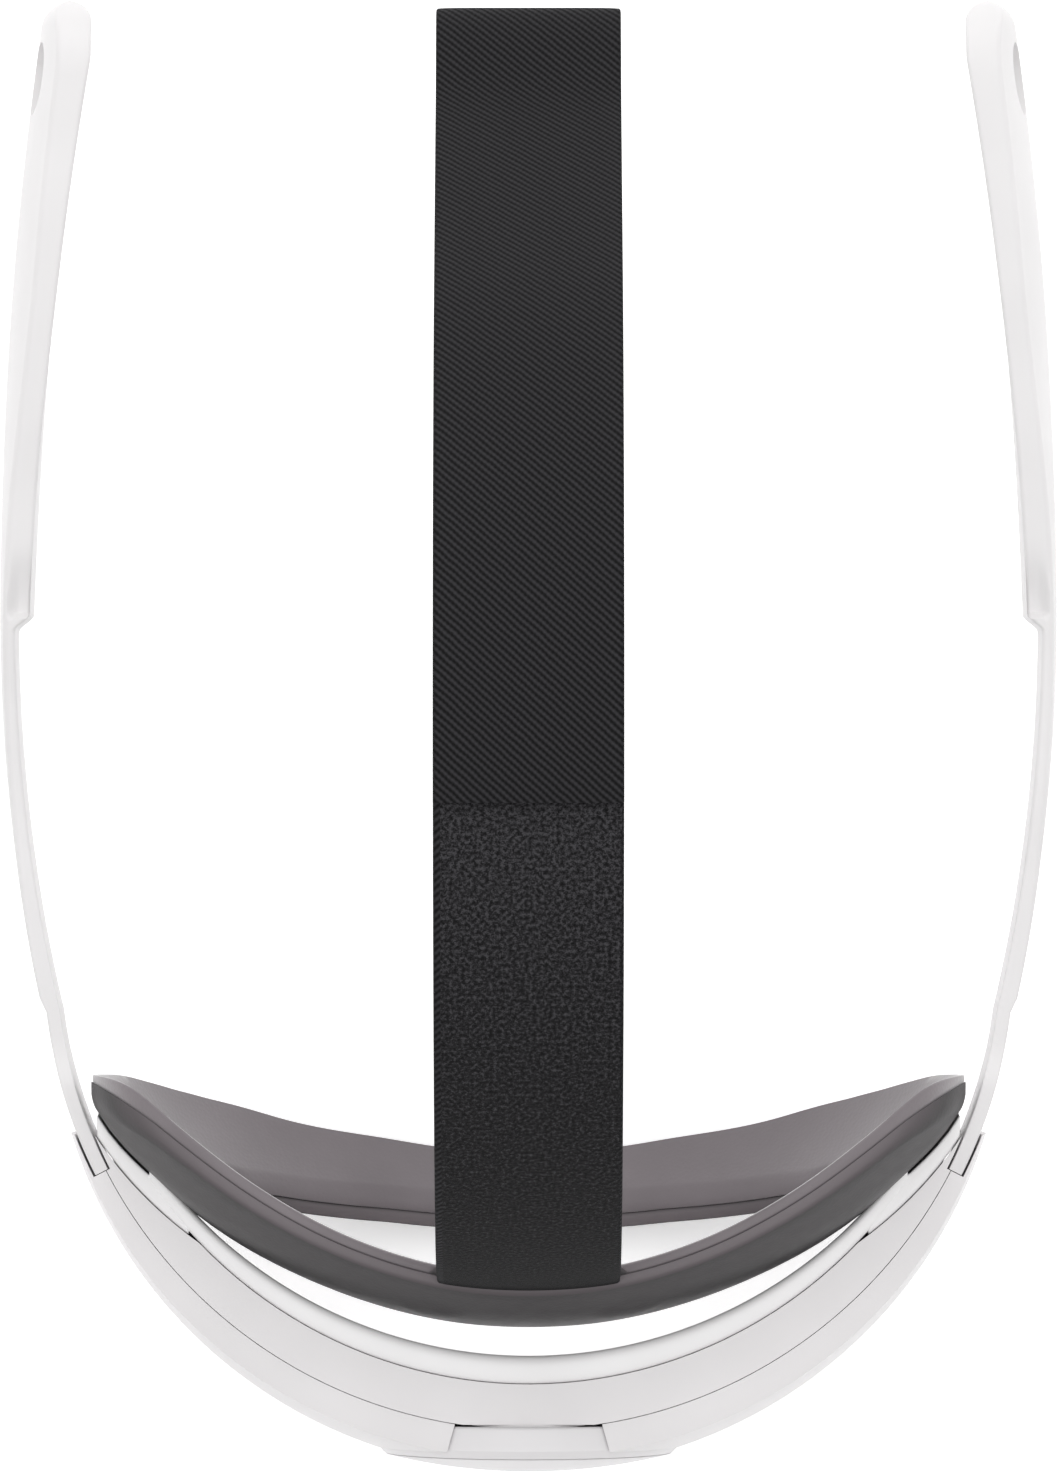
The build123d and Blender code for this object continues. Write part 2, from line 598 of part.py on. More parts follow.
def cradle_outline():
    """The cradle's outline seen from behind, with its open middle."""
    with BuildPart() as prism:
        with BuildSketch(Plane.XZ.offset(CRADLE_TIP)):
            with BuildLine():
                half = [(0, 38.3), (30, 38.3), (50, 37.3), (62, 33.8), (71, 27), (76, 19), (77.4, 11.5),
                        (75.5, 3.5), (71, -4), (60, -15.5), (46.5, -24), (25, -31.6), (0, -34)]
                points = half + [(-x, z) for x, z in reversed(half[1:-1])]
                Spline(*[(x, MID + z) for x, z in points], periodic=True)
            make_face()
            with BuildLine():
                upper = ThreePointArc((-50, MID + 1.5), (0, MID + 14), (50, MID + 1.5))
                low_edge = [(50, -10.5), (43.3, -15.2), (32, -20.7), (20, -24.4), (0, -26.9)]
                low_edge += [(-x, z) for x, z in reversed(low_edge[:-1])]
                lower = Spline(*[(x, MID + z) for x, z in low_edge])
                ThreePointArc(upper @ 1, (54.5, MID - 4.5), lower @ 0)
                ThreePointArc(lower @ 1, (-54.5, MID - 4.5), upper @ 0)
            make_face(mode=Mode.SUBTRACT)
        extrude(amount=80)
    return prism.part


outline = cradle_outline()
boss_zone = wide_box(BOSS_HALF, -120, -80, 10, BOSS_LOW + 10)
BAR_HALF = SLOT_HALF + 1.6
bar_z = MID + BAR_LEVEL
bar_hole = rod((-BAR_HALF, BAR_Y, bar_z), (BAR_HALF, BAR_Y, bar_z), BAR_R + 0.03)
bead_hole = rod((-SLOT_HALF, BAR_Y, bar_z), (SLOT_HALF, BAR_Y, bar_z), BEAD_R + 0.15)


def barrel_radius(x):
    """The barrel's radius about its axis, at a place across the head."""
    return CRADLE_DEEP * sqrt(1 - (x / CRADLE_ACROSS) ** 2) + BARREL_Y - CRADLE_Y


def surface_y(x, z):
    """Where the cradle's outer surface is along Y, at a place seen from behind."""
    return BARREL_Y - sqrt(barrel_radius(x) ** 2 - (MID + z - CRADLE_Z) ** 2)


def cradle_normal(x, z):
    """The outward direction of the cradle's surface there."""
    radius = barrel_radius(x)
    slope = CRADLE_DEEP * x / CRADLE_ACROSS**2 / sqrt(1 - (x / CRADLE_ACROSS) ** 2)
    return Vector(slope, (surface_y(x, z) - BARREL_Y) / radius, (MID + z - CRADLE_Z) / radius).normalized()


def cradle_rod(x, z, deep, proud, radius):
    """A rod across the cradle's surface, from a depth inside it to a height outside."""
    on, out = Vector(x, surface_y(x, z), MID + z), cradle_normal(x, z)
    return rod(tuple(on - out * deep), tuple(on + out * proud), radius)


def shell_slice(near, far):
    """The part of the cradle between two insets."""
    with BuildPart() as piece:
        add(barrel(near))
        add(barrel(far), mode=Mode.SUBTRACT)
    return piece.part


with BuildPart() as slot:
    add(shell_slice(SLOT_OUT, SLOT_IN))
    add(wide_box(SLOT_HALF, -120, -80, 10, SLOT_LOW + 10), mode=Mode.INTERSECT)

with BuildPart() as cradle_boss:
    add(shell_slice(FRAME_THICK - 0.2, CRADLE_THICK))
    add(outline, mode=Mode.INTERSECT)
    add(boss_zone, mode=Mode.INTERSECT)

with BuildPart() as cradle_frame:
    add(shell_slice(0, FRAME_THICK))
    add(outline, mode=Mode.INTERSECT)
    add(cradle_boss.part)
    add(slot.part, mode=Mode.SUBTRACT)
    add(bead_hole, mode=Mode.SUBTRACT)
    add(bar_hole, mode=Mode.SUBTRACT)
    for x, z in CRADLE_SCREWS:
        add(cradle_rod(x, z, 4, 4, 1.25), mode=Mode.SUBTRACT)
save(cradle_frame, "cradle_frame")

with BuildPart() as cradle_pad:
    add(shell_slice(FRAME_THICK + 0.03, CRADLE_THICK))
    add(outline, mode=Mode.INTERSECT)
    add(wide_box(BOSS_HALF + 0.1, -120, -80, 12, BOSS_LOW + 11.9), mode=Mode.SUBTRACT)
    for x, z in CRADLE_SCREWS:
        add(cradle_rod(x, z, 3.2, 4, 2.4), mode=Mode.SUBTRACT)
save(cradle_pad, "cradle_pad")

with BuildPart() as cradle_screws:
    for x, z in CRADLE_SCREWS:
        add(cradle_rod(x, z, FRAME_THICK + 1.1, -FRAME_THICK - 0.05, 2.1))
        add(cradle_rod(x, z, FRAME_THICK + 0.2, CRADLE_GAP + 0.8, 1.15))
save(cradle_screws, "cradle_screws")

for x, z in CRADLE_SCREWS:
    with inner_liner:
        add(cradle_rod(x, z, 2, CRADLE_GAP + 1.1, 1.2), mode=Mode.SUBTRACT)
save(inner_liner, "inner_liner")

with BuildPart() as strap_anchor_bar:
    add(rod((0.1 - BAR_HALF, BAR_Y, bar_z), (BAR_HALF - 0.1, BAR_Y, bar_z), BAR_R))
save(strap_anchor_bar, "strap_anchor_bar")

# Top strap ---------------------------------------------------------------------------------
with BuildPart() as strap_tail:
    add(shell_slice(SLOT_OUT + 0.1, SLOT_IN - 0.1))
    add(wide_box(STRAP_WIDE / 2, -120, -80, 6.2, 32.2), mode=Mode.INTERSECT)
    bead_x = STRAP_WIDE / 2
    add(rod((-bead_x, BAR_Y, bar_z), (bead_x, BAR_Y, bar_z), BEAD_R))
    add(bar_hole, mode=Mode.SUBTRACT)
save(strap_tail, "strap_tail")

STRAP_TURN = 89.65
FRONT_Z = CROWN_Z + CROWN_R - FRONT_R
LAYER_RISE = STRAP_THICK + PATCH_THICK
turn = radians(FRONT_TURN)
along, lift = Vector(cos(turn), -sin(turn)), Vector(sin(turn), cos(turn))
run_start = Vector(CROWN_Y, FRONT_Z) + lift * FRONT_R
run_end = run_start + along * FRONT_RUN
with BuildPart() as strap_band:
    with BuildSketch(Plane.YZ.offset(-STRAP_WIDE / 2)):
        with BuildLine() as webbing:
            CenterArc((CROWN_Y, CROWN_Z), CROWN_R, 90, STRAP_TURN)
            CenterArc((CROWN_Y, FRONT_Z), FRONT_R, 90 - FRONT_TURN, FRONT_TURN)
            Line(run_start, run_end)
            ThreePointArc(run_end, run_end + (along + lift) * LOOP_R, run_end + lift * 2 * LOOP_R)
            closing = run_end - along * LOOP_TAPER + lift * LAYER_RISE
            Spline(run_end + lift * 2 * LOOP_R, closing, tangents=(-along, -along))
            Line(closing, run_start + lift * LAYER_RISE)
            CenterArc((CROWN_Y, FRONT_Z), FRONT_R + LAYER_RISE, 90 - FRONT_TURN, FRONT_TURN)
            CenterArc((CROWN_Y, CROWN_Z), CROWN_R + LAYER_RISE, 90, FLAP_END_ANGLE)
        trace(line_width=STRAP_THICK)
    extrude(amount=STRAP_WIDE)
save(strap_band, "strap_band")

PATCH_RISE, PATCH_ANGLE = LAYER_RISE / 2, 8.5
with BuildPart() as hook_patch:
    with BuildSketch(Plane.YZ.offset(-STRAP_WIDE / 2 + 1.5)):
        with BuildLine():
            CenterArc((CROWN_Y, CROWN_Z), CROWN_R + PATCH_RISE, 90, PATCH_ANGLE)
            CenterArc((CROWN_Y, FRONT_Z), FRONT_R + PATCH_RISE, 90 - PATCH_ANGLE, PATCH_ANGLE)
        trace(line_width=PATCH_THICK - 0.04)
    extrude(amount=STRAP_WIDE - 3)
save(hook_patch, "hook_patch")
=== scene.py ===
"""Looks of the head strap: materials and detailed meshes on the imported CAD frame, in metres."""

import json
from math import cos, hypot, pi, radians, sin, sqrt

import bmesh
import bpy
import numpy as np
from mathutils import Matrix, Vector


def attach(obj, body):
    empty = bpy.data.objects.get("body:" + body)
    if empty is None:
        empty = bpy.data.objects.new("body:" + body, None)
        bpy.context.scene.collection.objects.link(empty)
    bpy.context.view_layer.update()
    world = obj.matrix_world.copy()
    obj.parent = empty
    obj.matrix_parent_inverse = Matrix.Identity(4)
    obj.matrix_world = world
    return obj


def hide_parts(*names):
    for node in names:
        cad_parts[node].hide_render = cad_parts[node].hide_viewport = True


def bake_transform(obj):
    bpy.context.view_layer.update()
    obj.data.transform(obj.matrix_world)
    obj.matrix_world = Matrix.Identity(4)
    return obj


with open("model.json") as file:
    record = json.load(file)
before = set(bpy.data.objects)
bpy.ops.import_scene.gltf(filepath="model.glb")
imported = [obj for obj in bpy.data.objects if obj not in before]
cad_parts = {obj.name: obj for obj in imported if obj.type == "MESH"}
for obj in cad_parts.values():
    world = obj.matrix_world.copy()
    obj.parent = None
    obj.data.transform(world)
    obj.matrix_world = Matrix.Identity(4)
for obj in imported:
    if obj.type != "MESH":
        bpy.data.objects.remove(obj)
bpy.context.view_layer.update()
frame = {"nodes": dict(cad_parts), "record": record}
nodes = frame["nodes"]
MM = 0.001
MID = 34.0  # height of the side arms and the wheel's shaft, in mm

# Camera, floor and light ---------------------------------------------------------------------
camera_data = bpy.data.cameras.new("camera")
camera_data.lens = 309.2
camera_data.sensor_width = 36
camera_data.clip_start, camera_data.clip_end = 0.1, 10
camera = bpy.data.objects.new("camera", camera_data)
CAMERA_HEIGHT = 2.25  # above the arms' centre line
camera.location = (0, 0, CAMERA_HEIGHT + MID * MM)
bpy.context.scene.collection.objects.link(camera)
bpy.context.scene.camera = camera


def area_light(name, place, size, watts):
    """A soft square light aimed at the middle of the object."""
    data = bpy.data.lights.new(name, "AREA")
    data.shape, data.size, data.energy = "SQUARE", size, watts
    light = bpy.data.objects.new(name, data)
    light.location = place
    aim = Vector((0, 0, MID * MM)) - Vector(place)
    light.rotation_euler = aim.to_track_quat("-Z", "Y").to_euler()
    bpy.context.scene.collection.objects.link(light)


area_light("light_top", (0.0, 0.15, 1.5), 1.6, 13)
area_light("light_front", (0.0, 1.3, 0.7), 0.9, 5.0)
area_light("light_left", (-1.2, 0.1, 0.8), 0.8, 2.6)
area_light("light_right", (1.2, 0.1, 0.8), 0.8, 2.6)

world = bpy.data.worlds.new("soft_light")
world.use_nodes = True
world.node_tree.nodes["Background"].inputs["Color"].default_value = (1, 1, 1, 1)
world.node_tree.nodes["Background"].inputs["Strength"].default_value = 0.48
bpy.context.scene.world = world
bpy.context.scene.view_settings.view_transform = "Standard"


# Materials -----------------------------------------------------------------------------------
class Nodes:
    """Short calls for building one material's node tree."""

    def __init__(self, name):
        self.material = bpy.data.materials.new(name)
        self.material.use_nodes = True
        self.tree = self.material.node_tree
        self.shader = self.tree.nodes["Principled BSDF"]

    def add(self, kind, **values):
        node = self.tree.nodes.new(kind)
        for key, value in values.items():
            setattr(node, key, value)
        return node

    def link(self, out, into):
        self.tree.links.new(out, into)

    def put(self, into, value):
        if isinstance(value, (int, float, tuple)):
            into.default_value = value
        else:
            self.link(value, into)

    def maths(self, operation, *values):
        node = self.add("ShaderNodeMath", operation=operation)
        for socket, value in zip(node.inputs, values):
            self.put(socket, value)
        return node.outputs[0]

    def noise(self, vector, scale, detail=2.0):
        node = self.add("ShaderNodeTexNoise")
        self.link(vector, node.inputs["Vector"])
        node.inputs["Scale"].default_value = scale
        node.inputs["Detail"].default_value = detail
        return node.outputs["Fac"]

    def ramp(self, factor, *stops):
        """A colour ramp; each stop is (place, colour)."""
        node = self.add("ShaderNodeValToRGB")
        self.link(factor, node.inputs["Fac"])
        elements = node.color_ramp.elements
        elements[0].position, elements[0].color = stops[0][0], (*stops[0][1], 1)
        elements[1].position, elements[1].color = stops[-1][0], (*stops[-1][1], 1)
        for place, colour in stops[1:-1]:
            elements.new(place).color = (*colour, 1)
        return node.outputs["Color"]

    def bump(self, height, depth, strength=1.0):
        node = self.add("ShaderNodeBump")
        node.inputs["Distance"].default_value = depth
        node.inputs["Strength"].default_value = strength
        self.link(height, node.inputs["Height"])
        return node.outputs["Normal"]

    def set(self, **values):
        for key, value in values.items():
            self.put(self.shader.inputs[key.replace("_", " ")], value)


def tone(colour, factor):
    return tuple(min(1.0, c * factor) for c in colour)


GRAIN, SPREAD = 900.0, 0.03  # the plastic's grain scale and its colour drift


def plastic(name, colour, rough, depth=0.00002):
    """Moulded plastic: a fine spark-eroded grain, slight colour drift and slight gloss drift."""
    n = Nodes(name)
    place = n.add("ShaderNodeTexCoord").outputs["Object"]
    drift = n.noise(place, 35.0, 3.0)
    stops = (0.3, tone(colour, 1 - SPREAD)), (0.7, tone(colour, 1 + SPREAD))
    n.set(Base_Color=n.ramp(drift, *stops))
    gloss = n.noise(place, 120.0)
    n.set(Roughness=n.maths("MULTIPLY_ADD", gloss, 0.12, rough - 0.06))
    n.shader.inputs["Specular IOR Level"].default_value = 0.4
    n.set(Normal=n.bump(n.noise(place, GRAIN), depth))
    return n.material


def metal(name, colour, rough, stretch):
    """Turned or drawn metal with fine lines along one axis."""
    n = Nodes(name)
    place = n.add("ShaderNodeTexCoord").outputs["Object"]
    mapping = n.add("ShaderNodeMapping")
    n.link(place, mapping.inputs["Vector"])
    mapping.inputs["Scale"].default_value = stretch
    lines = n.noise(mapping.outputs["Vector"], 900.0, 3.0)
    n.set(Base_Color=n.ramp(lines, (0.3, tone(colour, 0.85)), (0.7, tone(colour, 1.1))))
    n.set(Roughness=n.maths("MULTIPLY_ADD", lines, 0.15, rough))
    n.shader.inputs["Metallic"].default_value = 1.0
    n.set(Normal=n.bump(lines, 0.00002))
    return n.material


def rubber(name, colour, rough, specular, sheen, lit_top_colour=None):
    """Moulded rubber or foam skin: fine grain, soft drift and, if given, painted light: faces
    pointing up are painted paler, as if lit from above.
    """
    n = Nodes(name)
    place = n.add("ShaderNodeTexCoord").outputs["Object"]
    drift = n.noise(place, 60.0, 4.0)
    if lit_top_colour:
        # painted light: faces that point up get the paler top colour, as if lit from above
        split = n.add("ShaderNodeSeparateXYZ")
        n.link(n.add("ShaderNodeNewGeometry").outputs["Normal"], split.inputs[0])
        painted_light_facing = n.maths("MULTIPLY_ADD", drift, 0.08, split.outputs[2])
        n.set(Base_Color=n.ramp(painted_light_facing, (0.6, colour), (1.0, lit_top_colour)))
    else:
        n.set(Base_Color=n.ramp(drift, (0.3, tone(colour, 0.93)), (0.7, tone(colour, 1.07))))
    n.set(Roughness=n.maths("MULTIPLY_ADD", n.noise(place, 400.0), 0.1, rough - 0.05))
    n.shader.inputs["Specular IOR Level"].default_value = specular
    n.shader.inputs["Sheen Weight"].default_value = sheen
    n.shader.inputs["Sheen Roughness"].default_value = 0.45
    cells = n.add("ShaderNodeTexVoronoi")
    n.link(place, cells.inputs["Vector"])
    cells.inputs["Scale"].default_value = 1500.0
    n.set(Normal=n.bump(cells.outputs["Distance"], 0.00004, 0.5))
    return n.material


TWILL_DARK, TWILL_LIGHT = (0.0052, 0.005, 0.0055), (0.032, 0.0312, 0.034)
WEB_HALF = 16.0
CROWN_RUN = 171.0  # the length of webbing from its slot to the crown, in mm; the pile's painted shade ends there
RIB, YARN, RIB_LEAN = 1.02, 0.8, radians(42)  # the twill's spacings in mm, and its lean


def webbing(name, pile):
    """Black webbing: twill ribs on one side, a brushed loop pile on the other. UV is in mm."""
    n = Nodes(name)
    split = n.add("ShaderNodeSeparateXYZ")
    uv = n.add("ShaderNodeTexCoord").outputs["UV"]
    n.link(uv, split.inputs[0])
    across, along = split.outputs[0], split.outputs[1]
    edge = n.maths("ABSOLUTE", across)
    inward = n.maths("MULTIPLY", n.maths("SUBTRACT", WEB_HALF, edge), 1.6)
    border = n.maths("SMOOTH_MIN", 1.0, inward, 0.2)
    border = n.maths("MAXIMUM", border, 0.0)
    if pile:
        clumps = n.noise(uv, 1.5, 4.0)
        fibres = n.noise(uv, 4.5, 3.0)
        height = n.maths("MULTIPLY_ADD", fibres, 0.45, n.maths("MULTIPLY", clumps, 0.75))
        # painted shade: the pile is painted darker towards its slot at the back and full bright
        # from the crown on
        climb = n.maths("MINIMUM", n.maths("MULTIPLY", along, 1 / CROWN_RUN), 1.0)
        rear_shade = n.maths("MULTIPLY_ADD", climb, 0.30, 0.73)
        shade = n.maths("MULTIPLY", rear_shade, n.maths("MULTIPLY_ADD", border, 0.25, 0.75))
        look = n.ramp(n.maths("MULTIPLY", height, shade),
                      (0.46, (0.004, 0.0039, 0.0044)), (0.57, (0.0175, 0.0168, 0.0185)),
                      (0.70, (0.06, 0.0585, 0.0635)))
        n.set(Normal=n.bump(height, 0.0007, 0.9))
        n.shader.inputs["Sheen Weight"].default_value = 0.02
    else:
        ribs = n.maths("ADD", n.maths("MULTIPLY", across, sin(RIB_LEAN)),
                       n.maths("MULTIPLY", along, -cos(RIB_LEAN)))
        run = n.maths("ADD", n.maths("MULTIPLY", across, cos(RIB_LEAN)),
                      n.maths("MULTIPLY", along, sin(RIB_LEAN)))
        wobble = n.maths("MULTIPLY_ADD", n.noise(uv, 0.35), 0.30, ribs)
        wave = n.maths("SINE", n.maths("MULTIPLY", wobble, 2 * pi / RIB))
        row = n.maths("FLOOR", n.maths("MULTIPLY_ADD", ribs, 1 / RIB, 0.25))
        yarn = n.maths("SINE", n.maths("ADD", n.maths("MULTIPLY", run, 2 * pi / YARN),
                                       n.maths("MULTIPLY", row, 2.1)))
        rib = n.maths("MULTIPLY_ADD", wave, 0.36, 0.46)
        height = n.maths("ADD", rib, n.maths("MULTIPLY", yarn, 0.08))
        height = n.maths("ADD", height, n.maths("MULTIPLY_ADD", n.noise(uv, 5.0), 0.24, -0.12))
        look = n.ramp(n.maths("MULTIPLY", height, n.maths("MULTIPLY_ADD", border, 0.5, 0.5)),
                      (0.12, TWILL_DARK), (0.85, TWILL_LIGHT))
        n.set(Normal=n.bump(height, 0.00025, 0.8))
        n.shader.inputs["Sheen Weight"].default_value = 0.01
    n.set(Base_Color=look)
    n.shader.inputs["Roughness"].default_value = 0.85
    n.shader.inputs["Specular IOR Level"].default_value = 0.12
    n.shader.inputs["Sheen Roughness"].default_value = 0.6
    return n.material


def hooks(name):
    """Hook tape: rows of small moulded hooks."""
    n = Nodes(name)
    place = n.add("ShaderNodeTexCoord").outputs["Object"]
    cells = n.add("ShaderNodeTexVoronoi")
    n.link(place, cells.inputs["Vector"])
    cells.inputs["Scale"].default_value = 1100.0
    stops = (0.1, (0.035, 0.035, 0.037)), (0.7, (0.01, 0.01, 0.011))
    n.set(Base_Color=n.ramp(cells.outputs["Distance"], *stops))
    n.set(Normal=n.bump(cells.outputs["Distance"], 0.0003))
    n.shader.inputs["Roughness"].default_value = 0.6
    return n.material


looks = {
    "white_shell": plastic("shell_white", (0.755, 0.737, 0.743), 0.42),
    "white_liner": plastic("liner_white", (0.92, 0.91, 0.912), 0.5),
    "arm_plastic": plastic("arm_white", (0.735, 0.722, 0.725), 0.46, depth=0.000015),
    "wheel_plastic": plastic("wheel_white", (0.76, 0.745, 0.754), 0.42),
    "rack_plastic": plastic("rack_acetal", (0.62, 0.61, 0.58), 0.4),
    "inner_plastic": plastic("inner_grey", (0.32, 0.32, 0.33), 0.5),
    "bronze": metal("bush_bronze", (0.55, 0.36, 0.19), 0.35, (1, 12, 1)),
    "steel": metal("screw_steel", (0.55, 0.55, 0.56), 0.3, (1, 12, 1)),
    # painted light: the frame's second colour paints its upward faces paler, as if lit from above
    "dark_frame": rubber("frame_grey", (0.026, 0.0228, 0.0245), 0.42, 0.32, 0.05,
                         (0.145, 0.127, 0.135)),
    "cradle_rubber": rubber("pad_grey", (0.165, 0.144, 0.154), 0.45, 0.45, 0.9),
    "webbing": webbing("web_twill", False),
    "hook_tape": hooks("hook_rows"),
}
pile_look = webbing("web_pile", True)

# The rounding of each CAD piece's edges, in mm. The casing keeps its own edges and normals.
EDGE_ROUND = 0.22
ROUNDING = {"left_rear_cover": 0.3, "right_rear_cover": 0.3,
            "wheel_rim": 0.1, "wheel_cap": 0.1, "mid_shell": 0.0}
for piece in frame["record"]["subparts"]:
    node = nodes[piece["node"]]
    node.data.materials.clear()
    node.data.materials.append(looks[piece["material_slot"]])
    wide = ROUNDING.get(piece["node"], EDGE_ROUND)
    if wide == 0:
        continue
    weld = node.modifiers.new("weld", "WELD")
    weld.merge_threshold = 0.000001
    bevel = node.modifiers.new("edge", "BEVEL")
    bevel.width, bevel.segments, bevel.angle_limit = wide * MM, 3, radians(38)
    bevel.use_clamp_overlap = True


# Mesh helpers --------------------------------------------------------------------------------
def arc_through(p, q, r):
    """Centre and radius of the circle through three points."""
    (ax, ay), (bx, by), (cx, cy) = p, q, r
    d = 2 * (ax * (by - cy) + bx * (cy - ay) + cx * (ay - by))
    a, b, c = ax * ax + ay * ay, bx * bx + by * by, cx * cx + cy * cy
    x = (a * (by - cy) + b * (cy - ay) + c * (ay - by)) / d
    y = (a * (cx - bx) + b * (ax - cx) + c * (bx - ax)) / d
    return x, y, hypot(ax - x, ay - y)


def smooth(x, low, high):
    """0 before low, 1 after high, and a smooth step between."""
    t = min(1.0, max(0.0, (x - low) / (high - low)))
    return t * t * (3 - 2 * t)


def mesh_object(name, points, faces, materials, sharp=35.0):
    """A new piece from points in mm, smooth shaded with its sharp edges kept."""
    mesh = bpy.data.meshes.new(name)
    mesh.from_pydata([tuple(c * MM for c in p) for p in points], [], faces)
    for material in materials:
        mesh.materials.append(material)
    tidy = bmesh.new()
    tidy.from_mesh(mesh)
    bmesh.ops.recalc_face_normals(tidy, faces=tidy.faces)
    tidy.to_mesh(mesh)
    tidy.free()
    mesh.shade_smooth()
    mesh.set_sharp_from_angle(angle=radians(sharp))
    piece = bpy.data.objects.new(name, mesh)
    bpy.context.scene.collection.objects.link(piece)
    return piece


def loft_faces(stations, ring, closed=False):
    """Quads between successive rings of points, with end caps unless the loft is closed."""
    faces = []
    for s in range(stations if closed else stations - 1):
        for k in range(ring):
            a, b = s * ring + k, s * ring + (k + 1) % ring
            up = ring if s + 1 < stations else -s * ring
            faces.append((a, b, b + up, a + up))
    if not closed:
        faces.append(tuple(range(ring)))
        faces.append(tuple(range((stations - 1) * ring, stations * ring)))
    return faces


def corner(x, y, radius, start, count=5):
    """A quarter circle of points about (x, y), from an angle in degrees, anticlockwise."""
    turns = [radians(start + 90 * i / (count - 1)) for i in range(count)]
    return [(x + radius * cos(t), y + radius * sin(t)) for t in turns]


# Side arms -----------------------------------------------------------------------------------
TRACK_Y, TAIL_OUT, TAIL_IN, TAIL_HALF, ARM_HALF = -38.5, 86.1, 83.6, 9.5, 14.0
ARM_THIN, STEP_Y, BULGE_Y, TIP_Y = 3.0, 18.6, 21.3, 130.7
TROUGH_BACK, TROUGH_HALF, TROUGH_X, TROUGH_RISE, TROUGH_RUN = 88.0, 7.0, -86.2, 4.5, 43.0
TROUGH_WALL, SCOOP_Y, SCOOP_DEEP = 1.3, 33.5, 1.7
WINDOW_Y, WINDOW_LONG, WINDOW_TALL = 117.0, 6.5, 5.8  # the snap window's centre and half sizes
NOTCH_START, NOTCH_END, NOTCH_PLAY = 27.12, 27.2, 0.12  # the housing's notch, by track angle
BELLY_R, BELLY_LOW, LEAN = 55.0, 6.0, 0.05
OUT_TIP = arc_through((-86.67, 126), (-85.2, 129.3), (-82.2, TIP_Y))
IN_TIP = arc_through((-82.2, TIP_Y), (-79.2, 129.6), (-77.9, 126.3))
IN_LONG = arc_through((-78.1, 120), (-85.3, 66.9), (-88.3, 22))
PROFILE_TIP = arc_through((116, ARM_HALF), (126.6, 9.9), (131, 0))


def on_circle(circle, y, side):
    """Where a circle is at a given y, on its left (-1) or right (1) side."""
    x, at, radius = circle
    return x + side * sqrt(max(0.0, radius * radius - (y - at) ** 2))


def outer_edge(y):
    if y > 126:
        return on_circle(OUT_TIP, y, -1)
    return on_circle((223, BULGE_Y, 317) if y < BULGE_Y else (657, BULGE_Y, 751), y, -1)


def inner_edge(y):
    thin = on_circle((223, BULGE_Y, 317 - ARM_THIN), y, -1)
    if y < STEP_Y:
        return thin
    if y < 22:
        return thin + (on_circle(IN_LONG, 22, -1) - thin) * smooth(y, STEP_Y, 21.6)
    if y < 120:
        return on_circle(IN_LONG, y, -1)
    if y < 126.3:
        return -78.1 + 0.2 * (y - 120) / 6.3
    return on_circle(IN_TIP, y, 1)


def arm_half(y):
    if y > 116:
        x, at, radius = PROFILE_TIP
        return at + sqrt(max(0.0, radius * radius - (y - x) ** 2))
    return TAIL_HALF + (ARM_HALF - TAIL_HALF) * smooth(y, 0, 70)


HOUSING_ARC = arc_through((-84, 11.3), (0, 23.8), (84, 11.3))


def housing_half(x):
    """The housing's half height, at a place across the head."""
    return on_circle((HOUSING_ARC[1], HOUSING_ARC[0], HOUSING_ARC[2]), x, 1)


def arm_ring(inner, outer, half, trough=0.0, hollow=0.0, soft=0.4, swell=0.0, belly=0.0):
    """One section of an arm between two plan points, in mm.

    trough is the seat's depth, hollow the scoop in the top, soft the edges' radius, swell the
    lean and low belly of the receiver, and belly how convex the outer face is.
    """
    thick = max(0.02, hypot(outer[0] - inner[0], outer[1] - inner[1]))
    r_out = min(soft, 0.42 * thick, 0.6 * half)
    r_in = min(0.6 * soft, 0.3 * thick, 0.4 * half)
    band = min(TROUGH_HALF, half - r_in - 0.4)

    def sag(z):
        """How far the convex outer face falls back, from its fullest height."""
        return min(belly * (z + BELLY_LOW * swell) ** 2 / (2 * BELLY_R), 0.55 * thick)

    lid, keel = thick - sag(half - r_out), thick - sag(r_out - half)
    flat = [(thick - sag(z), z) for z in np.linspace(-(half - r_out), half - r_out, 15)]
    up = [(lid - r_out + (r_in - lid + r_out) * t, half) for t in np.linspace(0, 1, 9)[1:-1]]
    section = flat[1:-1] + corner(lid - r_out, half - r_out, r_out, 0) + up
    lip = half - r_in - band
    section += corner(r_in, half - r_in, r_in, 90) + [(0, band + lip * t) for t in (0.6, 0.2)]
    section += [(0.0, band)] + [(trough, band * t) for t in (1, 0.5, 0, -0.5, -1)] + [(0.0, -band)]
    section += [(0, -band - lip * t) for t in (0.2, 0.6)] + corner(r_in, r_in - half, r_in, 180)
    down = [(r_in + (keel - r_out - r_in) * t, -half) for t in np.linspace(0, 1, 9)[1:-1]]
    section += down + corner(keel - r_out, r_out - half, r_out, 270)
    ring = []
    for a, z in section:
        share = a / thick
        if z > half - 0.3:
            z -= hollow * (1 - smooth(share, 0.35, 0.8))
        x = inner[0] + (outer[0] - inner[0]) * share + LEAN * swell * z
        ring.append((x, inner[1] + (outer[1] - inner[1]) * share, MID + z))
    return ring


def tail_half(angle):
    """The tail's half height; it fills the housing's notch flush with the covers."""
    flush = housing_half(TAIL_OUT * cos(radians(angle))) - NOTCH_PLAY
    share = smooth(angle, 11, 16.5) * (1 - smooth(angle, NOTCH_START, NOTCH_END))
    return TAIL_HALF + (flush - TAIL_HALF) * share


